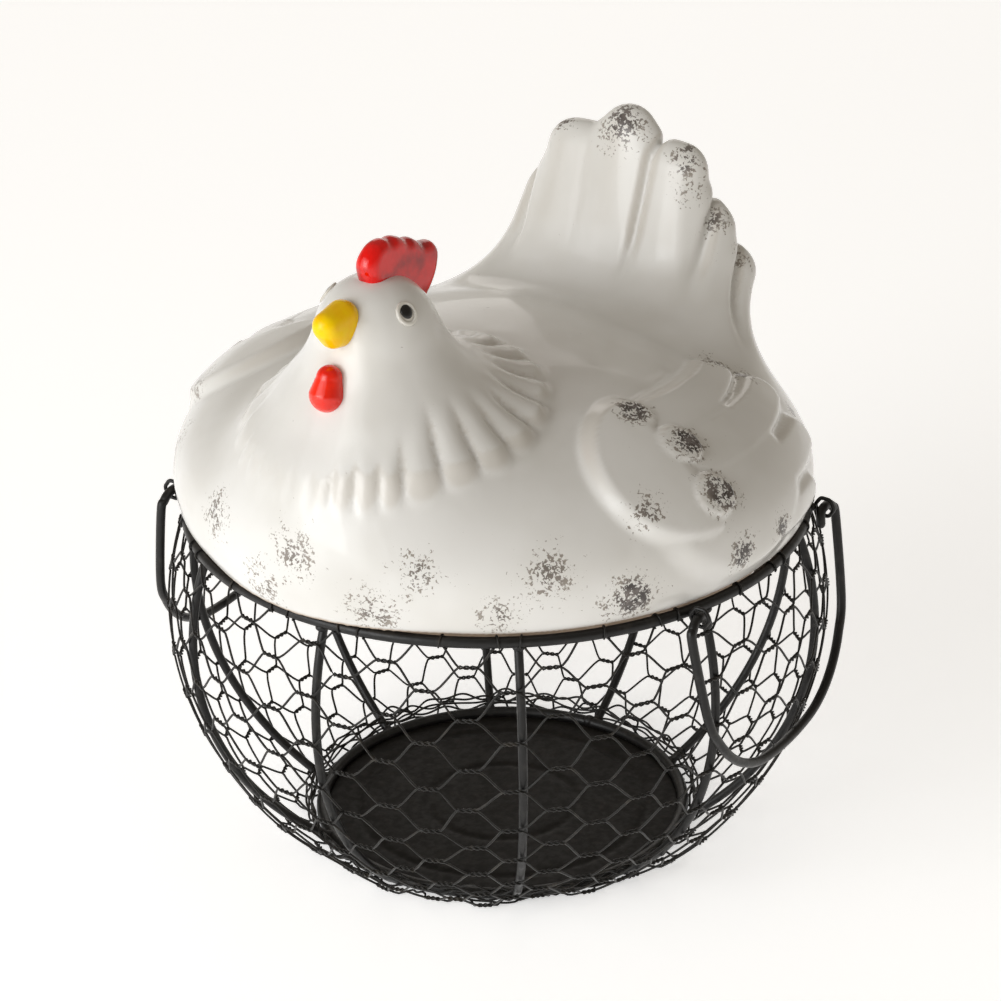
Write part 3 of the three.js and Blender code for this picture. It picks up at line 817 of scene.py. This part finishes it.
def tail(x, y, z):
    """Seven blunt lobes run together into a fan, with a narrow groove between each two."""
    side = np.abs(x)
    bars = lobe_bars()
    lobes = [plume(side, y, z, *bar[:4]) for bar in bars]
    d = lobes[0][0]
    for lobe, t in lobes[1:]:
        d = blend_min(d, lobe, 3.5 + 8 * (1 - t))
    for bar, following in zip(bars, bars[1:]):
        root, end, wide, narrow = ((one + other) / 2 for one, other in zip(bar[:4], following))
        web, _ = plume(side, y, z, root, end - bar[4] * 3.5, wide, narrow - 0.6)
        d = blend_min(d, web, 5)
    d = blend_min(d, plume(side, y, z, *TAIL_CORE)[0], 6)
    for rank, ((lobe, t), (following, _)) in enumerate(zip(lobes, lobes[1:])):
        depth = GROOVE_DEPTH * rise(0.30, 0.66, t)
        if rank == 0:   # the groove beside the middle lobe is faint on the hen's right
            depth = depth * (0.15 + 0.85 * rise(-4, 4, x))
        d = d + depth * np.exp(-(((lobe - following) / GROOVE_WIDTH) ** 2))
    return d


def cape_height(x, y):
    """How far the neck feathers stand out from the body: flutes with a scalloped edge, faint from the
    front of the breast to the hen's right."""
    r = np.hypot(x, y - NECK_AXIS_Y)
    turn = np.degrees(np.arctan2(x, -(y - NECK_AXIS_Y)))
    away = np.abs(turn)
    swell = np.abs(np.cos(np.pi * (away - 0.4 * np.maximum(away - 42, 0)) / FLUTE_PITCH)) ** 0.6
    start = 0.83 - 0.22 * rise(30, 60, away)
    sunk = 0.10 + 0.90 * rise(4, 18, turn) + 0.75 * rise(50, 80, -turn)
    depth = rise(start, start + 0.22, r / CAPE_RADIUS) * sunk
    edge = CAPE_RADIUS - 1.5 + 2.2 * swell + 2.5 * rise(60, 110, away)
    over = rise(0.40, 0.80, r / CAPE_RADIUS) * (1 - rise(edge - 4.3, edge + 1.0, r))
    thickness = CAPE_THICKNESS * (0.28 + 0.72 * rise(0, 26, turn) + 0.6 * rise(40, 80, -turn))
    return thickness * over * (1 - 0.85 * depth * (1 - swell))


def oval(u, v, azimuth, elevation, half_width, half_height):
    """Distance outside an oval on the wings' map, in millimetres."""
    across, up = (u - azimuth * WING_SCALE[0]) / half_width, (v - elevation * WING_SCALE[1]) / half_height
    return (np.hypot(across, up) - 1) * half_height


def feather(u, v, azimuths, elevations, wide, narrow):
    """Distance outside a tapered feather on the wings' map."""
    (ua, ub), (va, vb) = np.multiply(azimuths, WING_SCALE[0]), np.multiply(elevations, WING_SCALE[1])
    t = np.clip(((u - ua) * (ub - ua) + (v - va) * (vb - va)) / ((ub - ua) ** 2 + (vb - va) ** 2), 0, 1)
    return np.hypot(u - ua - t * (ub - ua), v - va - t * (vb - va)) - wide - t * (narrow - wide)


def wing_height(x, y, z):
    """How far the folded wings stand out from the flanks."""
    turn = np.degrees(np.arctan2(np.abs(x), -y))
    up = np.degrees(np.arctan2(z, np.hypot(x, y)))
    u, v = turn * WING_SCALE[0], up * WING_SCALE[1]
    height = np.zeros(np.shape(x))
    for a0, a1, e0, e1, wide, narrow, tall in FEATHERS:
        height = np.maximum(height, tall * rise(0.8, -3.6, feather(u, v, (a0, a1), (e0, e1), wide, narrow)))
    height = np.maximum(height, FEATHER_BASE_HEIGHT * rise(1.0, -8.0, oval(u, v, *FEATHER_BASE)))
    for azimuth, elevation, half, tall in COVERTS:
        d = np.hypot(u - azimuth * WING_SCALE[0], v - elevation * WING_SCALE[1]) - half
        height = np.maximum(height, tall * (0.8 + 0.2 * rise(-10, 10, x)) * rise(0.5, -2.8, d))
    sinks = rise(6.0, -6.0, u - SHOULDER_END * WING_SCALE[0])
    return np.maximum(height, SHOULDER_HEIGHT * rise(1.0, -6.0, oval(u, v, *SHOULDER)) * sinks)


def neck_axis(z):
    """The neck leans forward towards the head."""
    return NECK_AXIS_Y - HEAD_LEAN * rise(52, 92, z)


def rear_taper(back, z):
    """The body is a little narrower behind, most of all high up. back is 1 straight behind."""
    return rise(-0.2, 1.0, back) * (0.018 + 0.045 * rise(5, 40, z)) * rise(0, 6, z)


def body_and_neck(x, y, z, lowest):
    """The body and neck run together. Below the lowest height the body is as wide as at that height."""
    r = np.hypot(x, y) + 1e-6
    body = BODY(r * (1 + rear_taper(y / r, z)), np.maximum(z, lowest))
    return blend_min(body, NECK(np.hypot(x, y - neck_axis(z)), z), NECK_BLEND)


def hen(x, y, z):
    d = body_and_neck(x, y, z, -np.inf) - cape_height(x, y) - wing_height(x, y, z)
    d = blend_min(d, tail(x, y, z), TAIL_BLEND)
    return np.maximum(d, -z)


# ---- From a distance field to a mesh
COARSE_STEP = 4   # cells between the samples of the first, coarse look


def sampled(field, axes, cell):
    """The field over a grid, sampled finely near the surface. Elsewhere only its sign is right."""
    step = COARSE_STEP
    coarse = field(*np.meshgrid(*[a[::step] for a in axes], indexing="ij"))
    near = np.abs(coarse) < cell * step * 1.6
    spread = near.copy()
    for axis in range(3):
        spread |= np.roll(spread, 1, axis) | np.roll(spread, -1, axis)
    size = tuple(slice(0, len(a)) for a in axes)
    wanted = spread.repeat(step, 0).repeat(step, 1).repeat(step, 2)[size]
    values = coarse.repeat(step, 0).repeat(step, 1).repeat(step, 2)[size].copy()
    i, j, k = np.nonzero(wanted)
    values[i, j, k] = field(axes[0][i], axes[1][j], axes[2][k])
    return values


def net_cells(solid):
    """The cells of the grid that the surface passes through."""
    cells = np.array(solid.shape) - 1
    corner_sum = sum(
        solid[a : a + cells[0], b : b + cells[1], c : c + cells[2]].astype(np.int8)
        for a in (0, 1) for b in (0, 1) for c in (0, 1)
    )
    return np.nonzero((corner_sum > 0) & (corner_sum < 8))


def net_vertices(values, ci, cj, ck):
    """The middle of the places where the surface crosses each cell's edges, in cells."""
    total = np.zeros((len(ci), 3))
    hits = np.zeros(len(ci))
    corners = [(i, j, k) for k in (0, 1) for j in (0, 1) for i in (0, 1)]
    for axis in range(3):
        for a in [np.array(corner) for corner in corners if corner[axis] == 0]:
            b = a + np.eye(3, dtype=int)[axis]
            va = values[ci + a[0], cj + a[1], ck + a[2]]
            vb = values[ci + b[0], cj + b[1], ck + b[2]]
            crossed = (va < 0) != (vb < 0)
            t = np.where(crossed, va / np.where(crossed, va - vb, 1), 0)[:, None]
            total += np.where(crossed[:, None], a * (1 - t) + b * t, 0)
            hits += crossed
    return np.stack([ci, cj, ck], -1) + total / hits[:, None]


def net_quads(solid, number):
    """A quad facing out of the solid for each edge of the grid that the surface crosses."""
    quads = []
    for axis in range(3):
        other, third = (axis + 1) % 3, (axis + 2) % 3
        here = [slice(1, -1)] * 3
        here[axis] = slice(0, number.shape[axis])
        there = list(here)
        there[axis] = slice(1, number.shape[axis] + 1)
        a, b = solid[tuple(here)], solid[tuple(there)]   # the two ends of every edge along the axis
        place = np.stack(np.nonzero(a != b), -1) + np.array([s.start for s in here])
        leaving = a[a != b]
        corners = []
        for du, dv in ((-1, -1), (0, -1), (0, 0), (-1, 0)):
            at = place.copy()
            at[:, other] += du
            at[:, third] += dv
            corners.append(number[at[:, 0], at[:, 1], at[:, 2]])
        quad = np.stack(corners, -1)
        quad[~leaving] = quad[~leaving][:, ::-1]
        quads.append(quad)
    return np.vstack(quads)


def surface_mesh(field, low, high, cell):
    """Surface nets over a box, in cubic cells, with the vertices moved on to the surface."""
    low, high = np.array(low, float), np.array(high, float)
    count = np.ceil((high - low) / (cell * COARSE_STEP)).astype(int) * COARSE_STEP + 1
    values = sampled(field, [low[i] + cell * np.arange(count[i]) for i in range(3)], cell)
    solid = values < 0
    ci, cj, ck = net_cells(solid)
    number = np.full(tuple(count - 1), -1, np.int64)
    number[ci, cj, ck] = np.arange(len(ci))
    vertices = settle(field, low + cell * net_vertices(values, ci, cj, ck), cell)
    return vertices, net_quads(solid, number)


def slope(field, p, e):
    """Gradient of a field at points, by central differences."""
    steps = np.eye(3) * e
    return np.stack([field(*(p + s).T) - field(*(p - s).T) for s in steps], -1) / (2 * e)


def settle(field, vertices, cell, rounds=2):
    """Moves vertices on to the field's surface."""
    for _ in range(rounds):
        d = field(*vertices.T)
        g = slope(field, vertices, 0.25 * cell)
        move = d / np.maximum((g * g).sum(1), 0.25)
        vertices = vertices - g * np.clip(move, -0.5 * cell, 0.5 * cell)[:, None]
    return vertices


def to_frame(p):
    """From the hen's own axes and millimetres to the shared frame and metres."""
    c, s = math.cos(LID_TURN), math.sin(LID_TURN)
    x, y, z = np.asarray(p, float).T
    return np.stack([(x * c - y * s) * MM, (x * s + y * c) * MM, z * MM + LID_Z], -1)


def seat(point):
    """The nearest point of the hen's surface to a point, and the way out of it."""
    p = np.array([point], float)
    for _ in range(8):
        g = slope(hen, p, 0.5)
        p = p - g * (hen(*p.T) / (g * g).sum(1))[:, None]
    return p[0], unit(slope(hen, p, 0.8))[0]


# ---- The hen's lid, hollow below, with a ring that drops inside the rim
WALL = 6.0
LIP_OUTER, LIP_INNER, LIP_DEPTH = 99.0, 94.0, 6.0
LIP_ROOT_RADIUS, LIP_ROOT_FOOT, LIP_ROOT_HEIGHT = 103.0, 0.5, 7.0   # where the ring joins the wall
LID_BOX = (-116, -117, -LIP_DEPTH - 2), (116, 122, 118)
HEN_CELL, QUICK_CELL = 1.3, 2.4


def hollow(x, y, z):
    """The space inside the lid, and its open mouth."""
    inside = blend_min(body_and_neck(x, y, z, 0.5), tail(x, y, z), TAIL_BLEND) + WALL
    mouth = np.maximum(np.hypot(x, y) - LIP_INNER, np.abs(z + 4) - 12)
    return np.minimum(inside, mouth)


def lid(x, y, z):
    """The hollow hen with the ring below, which the hollow leaves whole."""
    r = np.hypot(x, y)
    ring = np.maximum(r - LIP_OUTER, -LIP_DEPTH - z)
    root = np.maximum(r - LIP_ROOT_RADIUS, LIP_ROOT_FOOT - z)
    lip = np.maximum(np.minimum(ring, root), np.maximum(LIP_INNER - r, z - LIP_ROOT_HEIGHT))
    return np.minimum(np.maximum(hen(x, y, z), -hollow(x, y, z)), lip)


def sponge_spots():
    """Centre, radius and strength of every sponged patch. All but the first two spots are on both sides."""
    spots = SPONGE_SPOTS + [((-x, y, z), size, strength) for (x, y, z), size, strength in SPONGE_SPOTS[2:]]
    for height, first, pitch in (LOWER_ROW, UPPER_ROW):
        for i in range(int(360 / pitch)):
            turn = first + i * pitch
            if not BESIDE_WING[0] < abs((turn + 180) % 360 - 180) < BESIDE_WING[1]:
                a = math.radians(turn)
                size = 12.5 + 1.5 * math.sin(2.3 * i)
                spots.append(((ROW_RADIUS * math.sin(a), -ROW_RADIUS * math.cos(a), height), size, SPARSE))
    for (_, tip, _, radius), strength in zip(LOBES[1:], LOBE_STRENGTHS):
        for out, down in ((0.35, 0.5), (0.55, 1.4)):
            place = (tip[0] + out * radius, tip[1] - 0.5 * radius, tip[2] - down * radius)
            spots.append((place, 0.8 * radius, strength))
    return spots


def sponge_mask(p):
    """How strongly the sponged colour has taken at each vertex."""
    mask = np.zeros(len(p))
    for centre, size, strength in sponge_spots():
        d = np.linalg.norm(p - np.array(centre), axis=1) / size
        mask = np.maximum(mask, strength * rise(1.45, 0.15, d))
    return mask


def make_hen(cell):
    vertices, quads = surface_mesh(lid, *LID_BOX, cell)
    piece = add_mesh("hen_lid", to_frame(vertices), quads, HEN_GLAZE, "lid", ["hen_body"], "white_glaze")
    x, y, z = vertices.T
    outer = hen(x, y, z) > -1.0
    on_ring = ~outer & (np.hypot(x, y) > LIP_INNER - 1) & (z < 3)
    bare = np.maximum(np.where(outer, rise(1.5, 0.5, z), rise(5.0, 2.0, z)), on_ring)
    reach = 1.6   # on the way out from a sharp edge the field grows by more than this
    normal = unit(slope(hen, vertices, 0.8))
    bend = hen(*(vertices + normal * reach).T) - reach
    thin = np.where(outer, rise(0.10, 0.7, bend), 0)
    sponge = np.where(outer, sponge_mask(vertices), 0)
    for name, values in (("sponge", sponge), ("bare", bare), ("thin", thin)):
        attribute = piece.data.attributes.new(name, "FLOAT", "POINT")
        attribute.data.foreach_set("value", values.astype(np.float32))


COMB_OUTLINE = smooth_path(COMB_POINTS + COMB_POINTS[:1], 6)[:-1]   # y and z


def comb(x, y, z):
    """A flat comb with rounded edges, a little thinner along the top."""
    up = rise(96, 113, z + 0.22 * (y + 60))
    half_thickness = 4.6 - 0.7 * up
    soft = 3.8
    a = outline_distance(y, z, COMB_OUTLINE) + soft
    b = np.abs(x) - half_thickness + soft
    return np.hypot(np.maximum(a, 0), np.maximum(b, 0)) + np.minimum(np.maximum(a, b), 0) - soft


def beak(x, y, z):
    """A blunt upper bill over a shorter lower one."""
    tip, root = np.array(BEAK_TIP), np.array(BEAK_ROOT)
    upper = capsule(x, y, z, root, tip + (0, 4.8, 0), 5.6, 4.8)
    lower = capsule(x, y, z, root + (0, 0, -4.6), tip + (0, 7.6, -3.8), 5.2, 4.6)
    return blend_min(upper, lower, 2.5)


def wattle(x, y, z):
    return capsule(x, y, z, *WATTLE_ENDS, *WATTLE_RADII)


def small_piece(name, field, centre, reach, cell, material, slot, nodes):
    vertices, quads = surface_mesh(field, np.subtract(centre, reach), np.add(centre, reach), cell)
    add_mesh(name, to_frame(vertices), quads, material, "lid", nodes, slot)


def disc_on(point, out, outline, sides, stretch):
    """An outline of (radius, height) turned about the way out of a surface, taller than it is wide."""
    side = unit(np.cross([0, 0, 1.0], out))
    up = np.cross(out, side)
    turn = turns(sides)
    r, h = np.array(outline, float).T
    p = (point + out * h[:, None, None]
         + side * (r[:, None] * np.cos(turn))[..., None]
         + up * (r[:, None] * np.sin(turn))[..., None] * stretch)
    return to_frame(p.reshape(-1, 3)), grid_faces(len(r), sides, False)


def make_eyes():
    """A thin raised ring round a domed black pupil set a little high, on each side of the head."""
    turn = np.linspace(np.pi * 1.15, -np.pi * 0.15, 16)
    roll = np.stack([3.1 + 0.66 * np.cos(turn), 0.5 * np.sin(turn) + 0.05], -1)
    ring = np.vstack([[(0.05, 0.2), (1.4, 0.18), (2.1, 0.1)], roll, [(4.1, -0.9)]])
    dome = [(0.05, 0.75), (0.8, 0.71), (1.5, 0.54), (1.95, 0.28), (2.15, 0.02), (2.2, -0.5)]
    for name, sign in (("left_eye", 1), ("right_eye", -1)):
        point, out = seat((sign * EYE[0], EYE[1], EYE[2]))
        body = disc_on(point, out, ring[::-1], 48, 1.1)
        add_mesh(f"{name}_ring", *body, EYE_WHITE, "lid", [], "white_glaze")
        raised = unit(np.array([0, 0, 1.0]) - out * out[2])
        pupil = disc_on(point + out * 0.15 + raised * 0.7, out, dome[::-1], 36, 1.15)
        add_mesh(f"{name}_pupil", *pupil, PUPIL_BLACK, "lid", [name], "black_glaze")


make_hen(HEN_CELL)
small_piece("hen_comb", comb, (0, -52, 100), (8, 30, 22), 0.6, COMB_RED, "red_glaze", ["comb"])
small_piece("hen_beak", beak, BEAK_ROOT, (11, 24, 15), 0.55, BEAK_YELLOW, "yellow_glaze", ["beak"])
small_piece("hen_wattle", wattle, WATTLE_ENDS[0], (9, 12, 18), 0.5, WATTLE_RED, "red_glaze", ["wattle"])
make_eyes()


# ---- Floor and studio light
def make_floor():
    look = Look("floor")
    look.feed("Base Color", look.mix(look.noise(3, detail=2), (0.93, 0.93, 0.93), (0.95, 0.95, 0.95)))
    look.set(Roughness=0.6, Specular_IOR_Level=0.2, Emission_Strength=0.52, Emission_Color=(1, 1, 1, 1))
    mesh = bpy.data.meshes.new("floor")
    half = 6.0
    corners = [(-half, -half, 0), (half, -half, 0), (half, half, 0), (-half, half, 0)]
    mesh.from_pydata(corners, [], [(0, 1, 2, 3)])
    mesh.materials.append(look.material)
    new_object("floor", mesh)


def add_light(name, place, size, power, color, aim=(0, 0, 0.12)):
    data = bpy.data.lights.new(name, "AREA")
    data.shape = "RECTANGLE"
    data.size, data.size_y = size
    data.energy = power
    data.color = color
    light = new_object(name, data)
    light.location = place
    light.rotation_euler = (Vector(aim) - Vector(place)).to_track_quat("-Z", "Y").to_euler()


HORIZON_TO_CEILING = (0.06, 0.42)   # sines of the elevations between which the studio darkens
HORIZON_COLOUR = (0.64, 0.605, 0.55, 1)
CEILING_COLOUR = (0.245, 0.218, 0.18, 1)
WINDOW_PLACE = (-0.56, -1.56, 0.60)
WINDOWS = ((0.8, 9.5), (1.3, 11), (1.9, 12))   # side and watts of three squares that make one soft window


def make_world():
    world = bpy.data.worlds.new("studio")
    world.use_nodes = True
    tree = world.node_tree
    kinds = ("ShaderNodeTexCoord", "ShaderNodeSeparateXYZ", "ShaderNodeValToRGB")
    place, parts, ramp = (tree.nodes.new(kind) for kind in kinds)
    tree.links.new(place.outputs["Generated"], parts.inputs[0])
    tree.links.new(parts.outputs["Z"], ramp.inputs[0])
    tree.links.new(ramp.outputs["Color"], tree.nodes["Background"].inputs["Color"])
    horizon, ceiling = ramp.color_ramp.elements
    horizon.position, horizon.color = HORIZON_TO_CEILING[0], HORIZON_COLOUR
    ceiling.position, ceiling.color = HORIZON_TO_CEILING[1], CEILING_COLOUR
    bpy.context.scene.world = world


def make_lights():
    for i, (side, power) in enumerate(WINDOWS):
        add_light(f"window_{i + 1}", WINDOW_PLACE, (side, side), power, (0.965, 0.985, 1.0))
    add_light("sky", (-0.5, 0.5, 2.4), (2.6, 2.6), 1.0, (1.0, 0.985, 0.96))
    add_light("rear", (-0.9, 1.7, 0.9), (1.2, 1.0), 3, (1.0, 0.97, 0.94))


make_floor()
make_world()
make_lights()
bpy.context.scene.view_settings.view_transform = "Standard"
